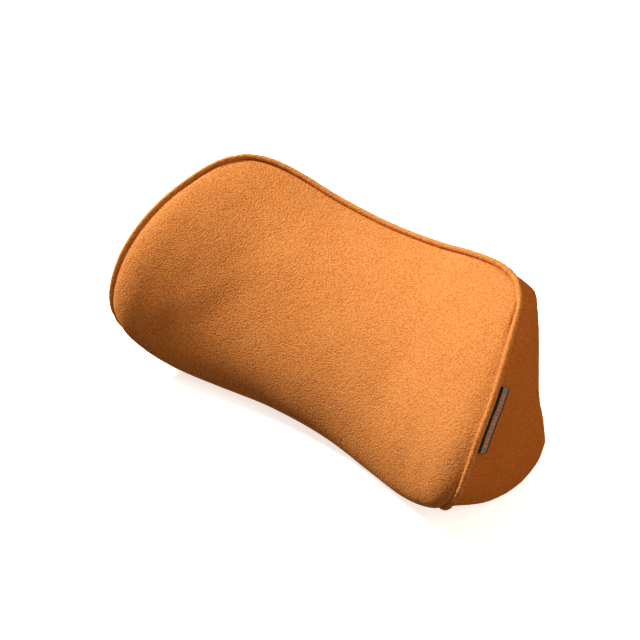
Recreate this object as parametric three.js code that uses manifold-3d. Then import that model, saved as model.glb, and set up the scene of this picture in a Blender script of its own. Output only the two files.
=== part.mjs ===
// Strap-on chair headrest cushion: a moulded foam core in a zipped, piped fabric cover,
// with a webbing strap that goes round the chair back and closes with a side-release buckle.
// Millimetres. +X along the cushion, +Y out of its back (towards the chair), +Z up.
// The origin is the middle of the flat back face.
import * as THREE from 'three';
import { mergeVertices } from 'three/addons/utils/BufferGeometryUtils.js';
import Module from 'manifold-3d';

const wasm = await Module();
wasm.setup();

// ---------------------------------------------------------------- driving dimensions
const SKIN = 1.5;             // thickness of the cover fabric with its knit backing
const LINER_OUT = 3.4;        // depth of the liner's outside below the cushion's surface
const LINER_IN = 4.1;         // depth of the liner's inside
const CORE_IN = 4.6;          // depth of the foam core's surface
const PIPING_R = 2.2;         // outside radius of the piping
const PIPING_BORE_R = 1.5;    // inside radius of the piping's fabric
const PIPING_CORD_R = 1.1;    // radius of the cord inside the piping
const PIPING_SETBACK = 2.75;  // from the piping's centre to each panel's edge
const SEAM_SETBACK = 0.35;    // from a plain seam's line to each panel's edge
const CROWN = 41.1;           // how far the front panel swells out of its piping, out in the wings
const WAIST_CROWN = 0.68;     // the same at the waist, as a fraction
const WAIST_REACH = 0.80;     // how far out from the middle the waist reaches, as a fraction of the half length
const WAIST_POWER = 0.88;     // how it fills out over that reach
const CROWN_RISE = -3.7;       // added to the crown towards the ends
const CROWN_LEAN = -1.04;      // how much the swelling leans outwards at the ends
const CROWN_DROOP = 0.76;     // how much the swelling leans downwards
const N_LEN = 18, N_TALL = 10, N_DEEP = 5;   // facets along, up and through the cushion

const ZIP_Z = -30, ZIP_HALF = 100, ZIP_SLOT_H = 16;   // the zip across the back
const CHAIN_GAP = 0.6;        // from the zip's middle line to each row of teeth
const STRAP_W = 38, STRAP_T = 1.2;   // webbing width and thickness
const BUCKLE_Y = 31;          // the buckle's mid-plane behind the back face
const LABEL_T = 1.0;          // folded label thickness

// ---------------------------------------------------------------- seam lines (right half)
// Each runs from the cushion's middle outwards, or from the top of the end downwards.
const FRONT_TOP = [[0, -24, 74.3], [25, -24.4, 75.4], [50, -26, 78.4], [75, -28.4, 83.4], [100, -33, 87.4], [119, -40.5, 87.3], [131, -51, 83.5]];
const FRONT_END = [[131, -51, 83.5], [137.5, -60, 78.5], [144.3, -75, 69.4], [152.3, -93.5, 54.6], [158.4, -110, 36.9], [161.6, -124, 16.7], [162.5, -132, -5], [160.5, -134.2, -23], [154, -131.5, -37]];
const FRONT_BOTTOM = [[0, -84, -66], [40, -86, -65], [80, -92, -63], [112, -102.5, -59], [134, -114.5, -53], [146.5, -125, -46], [154, -131.5, -37]];
const BACK_TOP = [[0, 4, 51], [50, 4, 54], [85, 3.5, 59], [108, -2, 64.5], [120, -10, 67.5], [128, -19, 69]];
const BACK_END = [[128, -19, 69], [130, -14.5, 48], [134, -12.5, 24], [141, -12, -4], [149.5, -12, -24], [156, -13.5, -39]];
const BACK_BOTTOM = [[0, 3, -50], [60, 3, -49], [105, 3, -45.5], [125, -3, -43.5], [142, -9.5, -41.5], [156, -13.5, -39]];
const TOP_SHORT = [[131, -51, 83.5], [130, -35, 77], [128, -19, 69]];
const BOTTOM_SHORT = [[156, -13.5, -39], [156, -22, -56], [154, -41, -66.5], [153, -70, -64.5], [153.5, -98, -54], [154, -131.5, -37]];

// ---------------------------------------------------------------- curve and patch helpers
const mix = (a, b, t) => a.map((v, i) => v + (b[i] - v) * t);
const sub = (a, b) => a.map((v, i) => v - b[i]);
const len = (a) => Math.hypot(...a);
const cross = (a, b) => [a[1] * b[2] - a[2] * b[1], a[2] * b[0] - a[0] * b[2], a[0] * b[1] - a[1] * b[0]];
const unit = (a) => { const l = len(a) || 1; return a.map((v) => v / l); };
const along = (a, d, t) => a.map((v, i) => v + d[i] * t);
const mirror = (pts) => pts.map(([x, y, z]) => [-x, y, z]);
const whole = (half) => [...mirror(half).reverse().slice(0, -1), ...half];   // left end to right end

// n points at equal steps of length along a smooth curve through pts
function smooth(pts, n) {
  const q = [pts[0].map((v, i) => 2 * v - pts[1][i]), ...pts, pts.at(-1).map((v, i) => 2 * v - pts.at(-2)[i])];
  const fine = [];
  for (let i = 1; i < q.length - 2; i++) {
    const [p0, p1, p2, p3] = [q[i - 1], q[i], q[i + 1], q[i + 2]];
    for (let k = 0; k < 24; k++) {
      const t = k / 24;
      fine.push(p1.map((_, c) => 0.5 * (2 * p1[c] + (p2[c] - p0[c]) * t + (2 * p0[c] - 5 * p1[c] + 4 * p2[c] - p3[c]) * t * t
        + (3 * p1[c] - p0[c] - 3 * p2[c] + p3[c]) * t * t * t)));
    }
  }
  fine.push(pts.at(-1).slice());
  const s = [0];
  for (let i = 1; i < fine.length; i++) s.push(s[i - 1] + len(sub(fine[i], fine[i - 1])));
  const out = [];
  let j = 1;
  for (let k = 0; k < n; k++) {
    const want = (s.at(-1) * k) / (n - 1);
    while (j < s.length - 1 && s[j] < want) j++;
    out.push(mix(fine[j - 1], fine[j], Math.min(1, (want - s[j - 1]) / (s[j] - s[j - 1]))));
  }
  return out;
}

// a smooth patch between four edges: a and b run along u, c and d run along v
function patch(a, b, c, d, nu, nv, shape) {
  const A = smooth(a, nu + 1), B = smooth(b, nu + 1), C = smooth(c, nv + 1), D = smooth(d, nv + 1);
  const grid = [];
  for (let i = 0; i <= nu; i++) {
    const u = i / nu, row = [];
    for (let j = 0; j <= nv; j++) {
      const v = j / nv;
      let p = [0, 1, 2].map((k) => (1 - v) * A[i][k] + v * B[i][k] + (1 - u) * C[j][k] + u * D[j][k]
        - ((1 - u) * (1 - v) * A[0][k] + u * (1 - v) * A[nu][k] + (1 - u) * v * B[0][k] + u * v * B[nu][k]));
      if (shape) p = shape(p, u, v);
      p[1] = Math.min(p[1], 0);   // the back is flat, in the plane Y = 0
      row.push(p);
    }
    grid.push(row);
  }
  return grid;
}
const bump = (t, p) => Math.max(0, 1 - Math.abs(2 * t - 1) ** p);

const frontShape = (p, u, v) => {
  const x = 2 * u - 1, far = Math.min(1, Math.abs(x) / WAIST_REACH) ** WAIST_POWER;
  const waist = WAIST_CROWN + (1 - WAIST_CROWN) * Math.sin((Math.PI / 2) * far) ** 2;
  const h = (CROWN * waist + CROWN_RISE * Math.abs(x) ** 3) * bump(u, 4.25) ** 0.54 * bump(v ** 1.52, 2.20) ** 0.70;
  return along(p, unit([CROWN_LEAN * x ** 3, -1, -CROWN_DROOP * (2.2 * v - -0.09)]), h);
};
const bottomShape = (p, u, v) => along(p, [0, 0, 1], 17 * bump(u, 2) * bump(v, 2));

const grids = {
  front: patch(whole(FRONT_TOP), whole(FRONT_BOTTOM), mirror(FRONT_END), FRONT_END, N_LEN, N_TALL, frontShape),
  back: patch(whole(BACK_TOP), whole(BACK_BOTTOM), mirror(BACK_END), BACK_END, N_LEN, N_TALL),
  top: patch(whole(FRONT_TOP), whole(BACK_TOP), mirror(TOP_SHORT), TOP_SHORT, N_LEN, N_DEEP),
  bottom: patch(whole(BACK_BOTTOM), whole(FRONT_BOTTOM), mirror(BOTTOM_SHORT), BOTTOM_SHORT, N_LEN, N_DEEP, bottomShape),
  right: patch(FRONT_END, BACK_END, TOP_SHORT, [...BOTTOM_SHORT].reverse(), N_TALL, N_DEEP, (p, u, v) => along(p, [1, 0, 0], 5 * bump(u, 2.5) * bump(v, 2.5))),
};
grids.left = grids.right.map((row) => row.map(([x, y, z]) => [-x, y, z]));

// ---------------------------------------------------------------- the cushion's closed surface
const verts = [], ids = {}, key = new Map();
for (const [name, grid] of Object.entries(grids)) {
  ids[name] = grid.map((row) => row.map((p) => {
    const k = p.map((v) => Math.round(v * 20)).join();
    if (!key.has(k)) { key.set(k, verts.length); verts.push(p); }
    return key.get(k);
  }));
}
const quadsOf = (name) => {
  const out = [], g = ids[name];
  for (let i = 0; i < g.length - 1; i++) {
    for (let j = 0; j < g[0].length - 1; j++) {
      const q = [g[i][j], g[i + 1][j], g[i + 1][j + 1], g[i][j + 1]];
      out.push(q);
    }
  }
  return out;
};
// turn every patch outwards: a patch whose mean normal points inwards is reversed
const middle = [0, -55, 0];
const allQuads = {};
for (const name of Object.keys(grids)) {
  let q = quadsOf(name), facing = 0;
  for (const [a, b, c, d] of q) {
    const n = cross(sub(verts[c], verts[a]), sub(verts[d], verts[b]));
    const m = mix(mix(verts[a], verts[b], 0.5), mix(verts[c], verts[d], 0.5), 0.5);
    facing += n.reduce((s, v, i) => s + v * (m[i] - middle[i]), 0);
  }
  if (facing < 0) q = q.map(([a, b, c, d]) => [a, d, c, b]);
  allQuads[name] = q;
}
// mitred offset directions: moving a vertex by t along its own moves each face at it by about t
const faceNormals = verts.map(() => []);
for (const quads of Object.values(allQuads)) {
  for (const q of quads) {
    const n = unit(cross(sub(verts[q[2]], verts[q[0]]), sub(verts[q[3]], verts[q[1]])));
    for (const v of q) faceNormals[v].push(n);
  }
}
const dot = (a, b) => a[0] * b[0] + a[1] * b[1] + a[2] * b[2];
const offsetDir = faceNormals.map((ns) => {
  let dir = unit(ns.reduce((s, n) => along(s, n, 1), [0, 0, 0]));
  for (let k = 1; k <= 60; k++) {      // leans towards the face that it serves worst
    const w = ns.reduce((m, n) => (dot(n, dir) < dot(m, dir) ? n : m));
    dir = unit(along(dir, w, 0.3 / k));
  }
  const worst = Math.min(...ns.map((n) => dot(n, dir)));
  return dir.map((v) => v / Math.max(worst, 0.6));
});
const sunk = (v, t, base = verts[v]) => along(base, offsetDir[v], -t);

function geometryOf(points, tris) {
  const g = new THREE.BufferGeometry();
  g.setAttribute('position', new THREE.Float32BufferAttribute(tris.flat().flatMap((i) => points[i]), 3));
  g.computeVertexNormals();
  return g;
}
const quadTris = (a, b, c, d) => [[a, b, c], [a, c, d]];

// a sheet of the surface between depths t0 and t1, closed round its rim; place(v) moves a rim vertex
function sheet(quads, t0, t1, place = (v) => verts[v]) {
  const used = [...new Set(quads.flat())], at = new Map(used.map((v, i) => [v, i])), n = used.length;
  const points = [...used.map((v) => sunk(v, t0, place(v))), ...used.map((v) => sunk(v, t1, place(v)))];
  const tris = [], edges = new Map();
  for (const q of quads) {
    const [a, b, c, d] = q.map((v) => at.get(v));
    tris.push(...quadTris(a, b, c, d), ...quadTris(a + n, d + n, c + n, b + n));
    [[a, b], [b, c], [c, d], [d, a]].forEach(([p, r]) => edges.set(`${p},${r}`, [p, r]));
  }
  for (const [p, r] of edges.values()) if (!edges.has(`${r},${p}`)) tris.push(...quadTris(r, p, p + n, r + n));
  return geometryOf(points, tris);
}
// a panel of the cover: its rim stands back from the seam lines, further where the piping runs
function panel(name, piped) {
  const g = ids[name], nu = g.length - 1, nv = g[0].length - 1, moved = new Map();
  for (let i = 0; i <= nu; i++) {
    for (let j = 0; j <= nv; j++) {
      const du = i === 0 ? 1 : i === nu ? -1 : 0, dv = j === 0 ? 1 : j === nv ? -1 : 0;
      if (!du && !dv) continue;
      let p = grids[name][i][j];
      const setU = du === 1 ? piped[0] : piped[1], setV = dv === 1 ? piped[2] : piped[3];
      const to = grids[name][i + du][j + dv], reach = Math.max(du ? setU : 0, dv ? setV : 0) * (du && dv ? 1.8 : 1);
      p = along(p, unit(sub(to, p)), reach);
      moved.set(g[i][j], p);
    }
  }
  return sheet(allQuads[name], 0, SKIN, (v) => moved.get(v) ?? verts[v]);
}

// ---------------------------------------------------------------- solids from boxes and outlines
function box(x0, x1, y0, y1, z0, z1) {
  const g = new THREE.BoxGeometry(x1 - x0, y1 - y0, z1 - z0);
  g.translate((x0 + x1) / 2, (y0 + y1) / 2, (z0 + z1) / 2);
  return g;
}
// an outline in X and Y, extruded from z0 to z1
function prism(outline, z0, z1) {
  const g = new THREE.ExtrudeGeometry(new THREE.Shape(outline.map(([x, y]) => new THREE.Vector2(x, y))), { depth: z1 - z0, bevelEnabled: false });
  g.translate(0, 0, z0);
  return g;
}
// an outline in X and Z, extruded from y0 to y1
function plate(outline, y0, y1) {
  const g = new THREE.ExtrudeGeometry(new THREE.Shape(outline.map(([x, z]) => new THREE.Vector2(x, -z))), { depth: y1 - y0, bevelEnabled: false });
  g.rotateX(-Math.PI / 2);          // (x, -z, d) becomes (x, d, z)
  g.translate(0, y0, 0);
  return g;
}
function solid(g) {
  const c = g.clone();
  for (const n of Object.keys(c.attributes)) if (n !== 'position') c.deleteAttribute(n);
  const m = mergeVertices(c, 1e-4);
  return new wasm.Manifold(new wasm.Mesh({ numProp: 3, vertProperties: new Float32Array(m.attributes.position.array), triVerts: new Uint32Array(m.index.array) }));
}
function fromSolid(m) {
  const mesh = m.getMesh(), p = [];
  for (let i = 0; i < mesh.vertProperties.length; i += mesh.numProp) p.push([...mesh.vertProperties.slice(i, i + 3)]);
  const tris = [];
  for (let i = 0; i < mesh.triVerts.length; i += 3) tris.push([...mesh.triVerts.slice(i, i + 3)]);
  return geometryOf(p, tris);
}
// g joined to the adds, then cut by the cuts; only the largest piece that is left is kept
function carve(g, cuts, adds = []) {
  let m = solid(g);
  for (const a of adds) m = m.add(solid(a));
  for (const c of cuts) m = m.subtract(solid(c));
  return fromSolid(m.decompose().reduce((x, y) => (x.volume() > y.volume() ? x : y)).simplify(0.02));   // slivers closed up
}
// a ring swept round a closed line: section points are (outwards, sideways) from the line
function ring(line, outs, section) {
  const n = line.length, m = section.length, points = [], tris = [];
  line.forEach((p, i) => {
    const t = unit(sub(line[(i + 1) % n], line[(i + n - 1) % n]));
    let o = unit(outs[i]);
    o = unit(along(o, t, -(o[0] * t[0] + o[1] * t[1] + o[2] * t[2])));
    const s = cross(t, o);
    section.forEach(([a, b]) => points.push(along(along(p, o, a), s, b)));
  });
  for (let i = 0; i < n; i++) for (let j = 0; j < m; j++) {
    const a = i * m + j, b = i * m + ((j + 1) % m), c = ((i + 1) % n) * m + ((j + 1) % m), d = ((i + 1) % n) * m + j;
    tris.push(...quadTris(a, b, c, d));
  }
  let volume = 0;
  for (const [a, b, c] of tris) { const k = cross(points[b], points[c]); volume += points[a][0] * k[0] + points[a][1] * k[1] + points[a][2] * k[2]; }
  return geometryOf(points, volume < 0 ? tris.map((t) => [...t].reverse()) : tris);
}

// ---------------------------------------------------------------- the group
const part = new THREE.Group();
const FINISH = {
  suede: [0xe29350, 0.92, 0], suedeDark: [0xd98a48, 0.92, 0], foam: [0xefe6cf, 0.95, 0], liner: [0xe9e7e0, 0.9, 0], cord: [0xf0ede6, 0.9, 0],
  label: [0x6b6560, 0.85, 0], tape: [0xb9743a, 0.9, 0], teeth: [0xa8652f, 0.5, 0], zip: [0x8f8a83, 0.35, 0.9], webbing: [0x2a2a2c, 0.85, 0], plastic: [0x1d1d1f, 0.5, 0],
};
function put(name, geometry, finish) {
  const [color, roughness, metalness] = FINISH[finish];
  const mesh = new THREE.Mesh(geometry, new THREE.MeshStandardMaterial({ color, roughness, metalness }));
  mesh.name = name;
  part.add(mesh);
  return mesh;
}

// ---------------------------------------------------------------- the piping's line, round the front panel
const rim = [];
for (let i = 0; i < N_LEN; i++) rim.push(ids.front[i][0]);
for (let j = 0; j < N_TALL; j++) rim.push(ids.front[N_LEN][j]);
for (let i = N_LEN; i > 0; i--) rim.push(ids.front[i][N_TALL]);
for (let j = N_TALL; j > 0; j--) rim.push(ids.front[0][j]);
const rimLine = rim.map((v) => verts[v]), rimOut = rim.map((v) => offsetDir[v]);
const arc = (r, from, to, n) => Array.from({ length: n + 1 }, (_, i) => {
  const a = THREE.MathUtils.degToRad(from + ((to - from) * i) / n);
  return [r * Math.cos(a), r * Math.sin(a)];
});
const pipingRoom = ring(rimLine, rimOut, arc((PIPING_R + 0.3) / Math.cos(Math.PI / 8), 0, 315, 7));   // no panel comes inside this

// ---------------------------------------------------------------- core, liner and cover
const everyQuad = Object.values(allQuads).flat();
const filled = (depth) => geometryOf(verts.map((_, v) => sunk(v, depth)), everyQuad.flatMap(([a, b, c, d]) => quadTris(a, b, c, d)));
{
  // the liner is closed all round but for the slit that the foam goes in by, low on the back
  const g = ids.back, row = N_TALL - 2, slit = new Set();
  for (let i = 4; i < N_LEN - 4; i++) slit.add([g[i][row], g[i + 1][row], g[i + 1][row + 1], g[i][row + 1]].sort((a, b) => a - b).join());
  const quads = everyQuad.filter((q) => !slit.has([...q].sort((a, b) => a - b).join()));
  // the moulded core is rounder than its cover at the two front bottom corners, by up to this much
  const CORNER = 11;
  const core = verts.map((_, v) => {
    const p = sunk(v, CORE_IN), side = Math.sign(p[0]);
    const near = Math.max(0, 1 - len(sub(p, [side * 151, -128.5, -35])) / 34);
    return along(p, unit(sub([side * 100, -85, -5], p)), CORNER * Math.min(1, 1.6 * near));
  });
  put('foam_core', carve(geometryOf(core, everyQuad.flatMap(([a, b, c, d]) => quadTris(a, b, c, d))), [sheet(quads, LINER_OUT, LINER_IN + 0.3)]), 'foam');
  put('foam_liner', sheet(quads, LINER_OUT, LINER_IN), 'liner');
}
const P = PIPING_SETBACK, S = SEAM_SETBACK, insides = filled(LINER_OUT - 0.3);
// the front panel is notched where its piping turns the bottom corners
const notches = [-1, 1].map((side) => { const g = new THREE.IcosahedronGeometry(8.2, 1); g.translate(side * 149.5, -128.7, -39.6); return g; });
put('front_panel', carve(panel('front', [P, P, P, P]), [pipingRoom, insides, ...notches]), 'suede');
put('top_gusset', carve(panel('top', [S, S, P, S]), [pipingRoom, insides]), 'suedeDark');
put('bottom_gusset', carve(panel('bottom', [S, S, S, P]), [pipingRoom, insides]), 'suedeDark');
put('end_gusset_right', carve(panel('right', [S, S, P, S]), [pipingRoom, insides]), 'suedeDark');
put('end_gusset_left', carve(panel('left', [S, S, P, S]), [pipingRoom, insides]), 'suedeDark');
put('back_panel', carve(panel('back', [S, S, S, S]), [insides, box(-ZIP_HALF - 3, ZIP_HALF + 3, -4, 2, ZIP_Z - ZIP_SLOT_H / 2, ZIP_Z + ZIP_SLOT_H / 2)]), 'suedeDark');

// ---------------------------------------------------------------- piping
// the fabric is folded round the cord, open along the side that faces the seam
put('piping_cover', ring(rimLine, rimOut, [...arc(PIPING_R, -150, 150, 8), ...arc(PIPING_BORE_R, 148, -148, 7)]), 'suede');
put('piping_cord', ring(rimLine, rimOut, arc(PIPING_CORD_R, 0, 300, 5)), 'cord');

// ---------------------------------------------------------------- label sewn into the right-hand seam
{
  const edge = smooth(FRONT_END, 41), back = smooth(BACK_END, 41), n = 6, pts = [], tris = [];
  const i0 = 17.2, i1 = 28.6;      // places along the end seam, in fortieths
  const look = (line, t) => mix(line[Math.floor(t)], line[Math.floor(t) + 1], t % 1);
  const rows = [];
  for (let k = 0; k <= n; k++) {
    const t = i0 + ((i1 - i0) * k) / n, p = look(edge, t), q = look(back, t);
    const inward = unit(sub(q, p)), tangent = unit(sub(look(edge, t + 0.5), look(edge, t - 0.5)));
    let nrm = unit(cross(tangent, inward));
    if (nrm[0] < 0) nrm = nrm.map((v) => -v);
    rows.push([p, inward, nrm]);
  }
  // four corners for each row: near and far edge, underside and outside
  for (const [p, inward, nrm] of rows) {
    for (const [a, b] of [[3.0, 1.6], [11.6, 3.3], [11.6, 3.3 + LABEL_T], [3.0, 1.6 + LABEL_T]]) pts.push(along(along(p, inward, a), nrm, b));
  }
  for (let k = 0; k < n; k++) for (let j = 0; j < 4; j++) tris.push(...quadTris(4 * k + j, 4 * k + ((j + 1) % 4), 4 * k + 4 + ((j + 1) % 4), 4 * k + 4 + j));
  tris.push(...quadTris(3, 2, 1, 0), ...quadTris(4 * n, 4 * n + 1, 4 * n + 2, 4 * n + 3));
  let volume = 0;
  for (const [a, b, c] of tris) { const k = cross(pts[b], pts[c]); volume += pts[a][0] * k[0] + pts[a][1] * k[1] + pts[a][2] * k[2]; }
  put('label_tag', geometryOf(pts, volume < 0 ? tris.map((t) => [...t].reverse()) : tris), 'label');
}

// ---------------------------------------------------------------- zip
for (const [name, s] of [['upper', 1], ['lower', -1]]) {
  const z = (a, b) => (s > 0 ? [ZIP_Z + a, ZIP_Z + b] : [ZIP_Z - b, ZIP_Z - a]);
  put(`zip_tape_${name}`, box(-ZIP_HALF - 2, ZIP_HALF + 2, -1.6, -0.9, ...z(2.3, 7.6)), 'tape');
  put(`zip_teeth_${name}`, box(-ZIP_HALF + 3, ZIP_HALF - 3, -1.9, -0.1, ...z(CHAIN_GAP, 2.0)), 'teeth');
  put(`zip_top_stop_${name}`, box(ZIP_HALF - 2.6, ZIP_HALF - 0.4, -2.0, 0.2, ...z(CHAIN_GAP, 2.0)), 'zip');
}
put('zip_bottom_stop', box(-ZIP_HALF + 0.4, -ZIP_HALF + 2.6, -2.0, 0.2, ZIP_Z - 2.0, ZIP_Z + 2.0), 'zip');
const SLIDER_X = ZIP_HALF - 9, PIN_Y = 3.4;
{
  const outline = [[-5, -2.6], [-5, 2.6], [1, 4.6], [5, 3.6], [5, -3.6], [1, -4.6]].map(([x, z]) => [SLIDER_X + x, ZIP_Z + z]);
  put('zip_slider', carve(plate(outline, 0.25, 1.35), [], [
    plate(outline, -3.1, -2.25),
    box(SLIDER_X + 1.6, SLIDER_X + 4.6, -3, 1, ZIP_Z - 0.28, ZIP_Z + 0.28),                          // web between the two plates
    box(SLIDER_X - 1.2, SLIDER_X + 1.2, 1, PIN_Y + 0.9, ZIP_Z + 2.2, ZIP_Z + 3.2),                  // ears that carry the pull's pin
    box(SLIDER_X - 1.2, SLIDER_X + 1.2, 1, PIN_Y + 0.9, ZIP_Z - 3.2, ZIP_Z - 2.2),
    box(SLIDER_X - 0.4, SLIDER_X + 0.4, PIN_Y - 0.4, PIN_Y + 0.4, ZIP_Z - 3, ZIP_Z + 3),
  ]), 'zip');
  const knuckle = [];
  for (let i = 0; i < 12; i++) knuckle.push([SLIDER_X + 1.25 * Math.cos((i * Math.PI) / 6), PIN_Y + 1.25 * Math.sin((i * Math.PI) / 6)]);
  const bore = knuckle.map(([x, y]) => [SLIDER_X + (x - SLIDER_X) * 0.66, PIN_Y + (y - PIN_Y) * 0.66]);
  const tab = [[-0.9, -1.7], [-0.9, 1.7], [-8, 1.9], [-12, 3.2], [-24, 3.4], [-25.5, 2.2], [-25.5, -2.2], [-24, -3.4], [-12, -3.2], [-8, -1.9]].map(([x, z]) => [SLIDER_X + x, ZIP_Z + z]);
  put('zip_pull', carve(prism(knuckle, ZIP_Z - 1.8, ZIP_Z + 1.8), [prism(bore, ZIP_Z - 3, ZIP_Z + 3)], [plate(tab, PIN_Y - 0.2, PIN_Y + 0.8)]), 'zip');
  // the bore again, clear through the tab's root
  const pull = part.children.at(-1);
  pull.geometry = carve(pull.geometry, [prism(bore, ZIP_Z - 3, ZIP_Z + 3), plate([[-16, -1.5], [-16, 1.5], [-22.5, 1.5], [-22.5, -1.5]].map(([x, z]) => [SLIDER_X + x, ZIP_Z + z]), 2, 6)]);
}

// ---------------------------------------------------------------- buckle: socket on the left, plug on the right
const HW = STRAP_W / 2, Y0 = BUCKLE_Y;
{
  // socket: a hollow shell, open to the right, with a window at top and bottom for the prongs
  const shell = plate([[-20, -24], [-20, 24], [14, 24], [17, 21], [17, -21], [14, -24]], Y0 - 5.5, Y0 + 5.5);
  const mouth = box(-9, 20, Y0 - 3.6, Y0 + 3.6, -20.2, 20.2);
  const windows = [box(-7, 5, Y0 - 3.6, Y0 + 3.6, 15, 26), box(-7, 5, Y0 - 3.6, Y0 + 3.6, -26, -15)];
  const strapSlot = [box(-17, -12, Y0 - 8, Y0 + 8, -HW - 0.8, HW + 0.8)];
  put('buckle_socket', carve(shell, [mouth, ...windows, ...strapSlot]), 'plastic');
}
{
  // plug: a bar frame for the strap, a root plate and a middle guide
  const root = plate([[18.2, -23], [18.2, 23], [38, 23], [38, -23]], Y0 - 2.6, Y0 + 2.6);
  const guide = plate([[19, -4], [19, 4], [-5, 3], [-5, -3]], Y0 - 1.8, Y0 + 1.8);
  put('buckle_plug', carve(root, [box(26, 32.5, Y0 - 8, Y0 + 8, -HW - 0.8, HW + 0.8), ...[1, -1].map((s) => box(17, 23.2, Y0 - 8, Y0 + 8, s > 0 ? 8.2 : -19.2, s > 0 ? 19.2 : -8.2))], [guide]), 'plastic');
}
for (const [name, s] of [['upper', 1], ['lower', -1]]) {
  // a prong: a bar from the root plate with a hook that fills the socket's window
  const out = [[22, 10.6], [22, 16], [19.6, 18], [4.4, 18.4], [4.4, 22.6], [-1.6, 22.6], [-6.2, 18.4], [-6.2, 14.8], [1.6, 14.6], [16, 13.8]].map(([x, z]) => [x, s * z]);
  put(`buckle_prong_${name}`, plate(s > 0 ? out : out.reverse(), Y0 - 1.8, Y0 + 1.8), 'plastic');
}

// ---------------------------------------------------------------- strap
// a ribbon of webbing that follows a line in X and Y, as wide as the strap
function ribbon(line, s = 1) {
  const l = [], r = [];
  line.forEach((p, i) => {
    const a = line[Math.max(0, i - 1)], b = line[Math.min(line.length - 1, i + 1)];
    const t0 = i ? unit(sub(p, a)) : unit(sub(b, p)), t1 = i < line.length - 1 ? unit(sub(b, p)) : t0;
    const n = unit([-(t0[1] + t1[1]), t0[0] + t1[0]]), k = STRAP_T / 2 / Math.max(0.5, n[0] * -t1[1] + n[1] * t1[0]);
    l.push([s * (p[0] + n[0] * k), p[1] + n[1] * k]);
    r.push([s * (p[0] - n[0] * k), p[1] - n[1] * k]);
  });
  return prism([...l, ...r.reverse()], -HW, HW);
}
const LAY = [[128.5, -3.1], [123, -0.75], [117, 1.15]];   // where the webbing lies on the back, sewn down
const RUN = [[111.5, 5.4], [104.5, 11.5], [97, 16.1], [88, 19.6]];   // its free run out towards the buckle
const SLOPE = (35.2 - 19.6) / (88 - 44);
// on the right the webbing turns round the plug's bar, comes back through the adjuster and ends in a free tail
put('strap_right', ribbon([...LAY, ...RUN, [44, 35.2], [38.5, 35.1], [31.5, 35.1], [29.3, 34], [28.5, 31], [29.3, 28], [31.5, 26.9], [38.5, 26.9],
  [44, 27.8], [50, 28.3], [82, 28.3 - 32 * SLOPE]]), 'webbing');
// on the left it turns round the socket's bar and is sewn back to itself
put('strap_left', ribbon([...LAY, ...RUN, [26, 37.3], [22, 37.6], [17, 37.6], [15, 36.5], [14.5, 34], [14.5, 28], [15, 25.5], [17, 24.4], [23, 24.5], [34, 29], [42, 30.9], [60, 25.8]], -1), 'webbing');

// ---------------------------------------------------------------- strap adjuster
{
  // a flat ladder of plastic: the run goes through the outer slot and the tail through the inner one
  const g = box(-6, 6, -5.2, 5.2, -HW - 4, HW + 4);
  const cut = carve(g, [box(-8, 8, 0.9, 3.6, -HW - 0.6, HW + 0.6), box(-8, 8, -3.6, -0.9, -HW - 0.6, HW + 0.6)]);
  const mesh = put('strap_adjuster', cut, 'plastic');
  mesh.position.set(65.25, 25.28, 0);
  mesh.rotation.z = -Math.atan(SLOPE);
}

export default part;
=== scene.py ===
import math

import bpy
import numpy as np
from mathutils import Matrix, Vector


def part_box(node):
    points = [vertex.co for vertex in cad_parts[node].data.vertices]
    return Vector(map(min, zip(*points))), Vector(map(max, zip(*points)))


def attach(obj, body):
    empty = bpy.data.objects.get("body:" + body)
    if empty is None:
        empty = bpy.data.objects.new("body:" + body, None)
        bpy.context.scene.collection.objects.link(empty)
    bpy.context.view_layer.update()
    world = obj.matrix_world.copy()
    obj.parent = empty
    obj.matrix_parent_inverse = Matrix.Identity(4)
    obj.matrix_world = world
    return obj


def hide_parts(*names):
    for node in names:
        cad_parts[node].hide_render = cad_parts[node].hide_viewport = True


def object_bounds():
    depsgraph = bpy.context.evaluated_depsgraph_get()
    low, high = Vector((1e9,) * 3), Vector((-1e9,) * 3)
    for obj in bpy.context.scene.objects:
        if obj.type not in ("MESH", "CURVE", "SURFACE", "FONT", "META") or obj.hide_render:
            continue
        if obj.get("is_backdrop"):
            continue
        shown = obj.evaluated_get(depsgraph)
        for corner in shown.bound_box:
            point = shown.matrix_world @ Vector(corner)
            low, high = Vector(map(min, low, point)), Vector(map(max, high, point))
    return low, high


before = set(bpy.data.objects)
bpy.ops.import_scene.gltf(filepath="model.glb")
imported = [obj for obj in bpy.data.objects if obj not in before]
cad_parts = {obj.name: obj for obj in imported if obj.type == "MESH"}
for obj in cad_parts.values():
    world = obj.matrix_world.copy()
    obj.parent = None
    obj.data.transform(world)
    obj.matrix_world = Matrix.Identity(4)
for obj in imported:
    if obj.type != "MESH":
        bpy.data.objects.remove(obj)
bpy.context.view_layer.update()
rng = np.random.RandomState(7)

# ------------------------------------------------------------------ seam lines, in mm (right half)
FT = [(0, -24, 74.3), (25, -24.4, 75.4), (50, -26, 78.4), (75, -28.4, 83.4), (100, -33, 87.4), (119, -40.5, 87.3), (131, -51, 83.5)]
FE = [(131, -51, 83.5), (137.5, -60, 78.5), (144.3, -75, 69.4), (152.3, -93.5, 54.6), (158.4, -110, 36.9), (161.6, -124, 16.7), (162.5, -132, -5), (160.5, -134.2, -23), (154, -131.5, -37)]
FB = [(0, -84, -66), (40, -86, -65), (80, -92, -63), (112, -102.5, -59), (134, -114.5, -53), (146.5, -125, -46), (154, -131.5, -37)]
BT = [(0, 4, 51), (50, 4, 54), (85, 3.5, 59), (108, -2, 64.5), (120, -10, 67.5), (128, -19, 69)]
BE = [(128, -19, 69), (130, -14.5, 48), (134, -12.5, 24), (141, -12, -4), (149.5, -12, -24), (156, -13.5, -39)]
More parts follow.
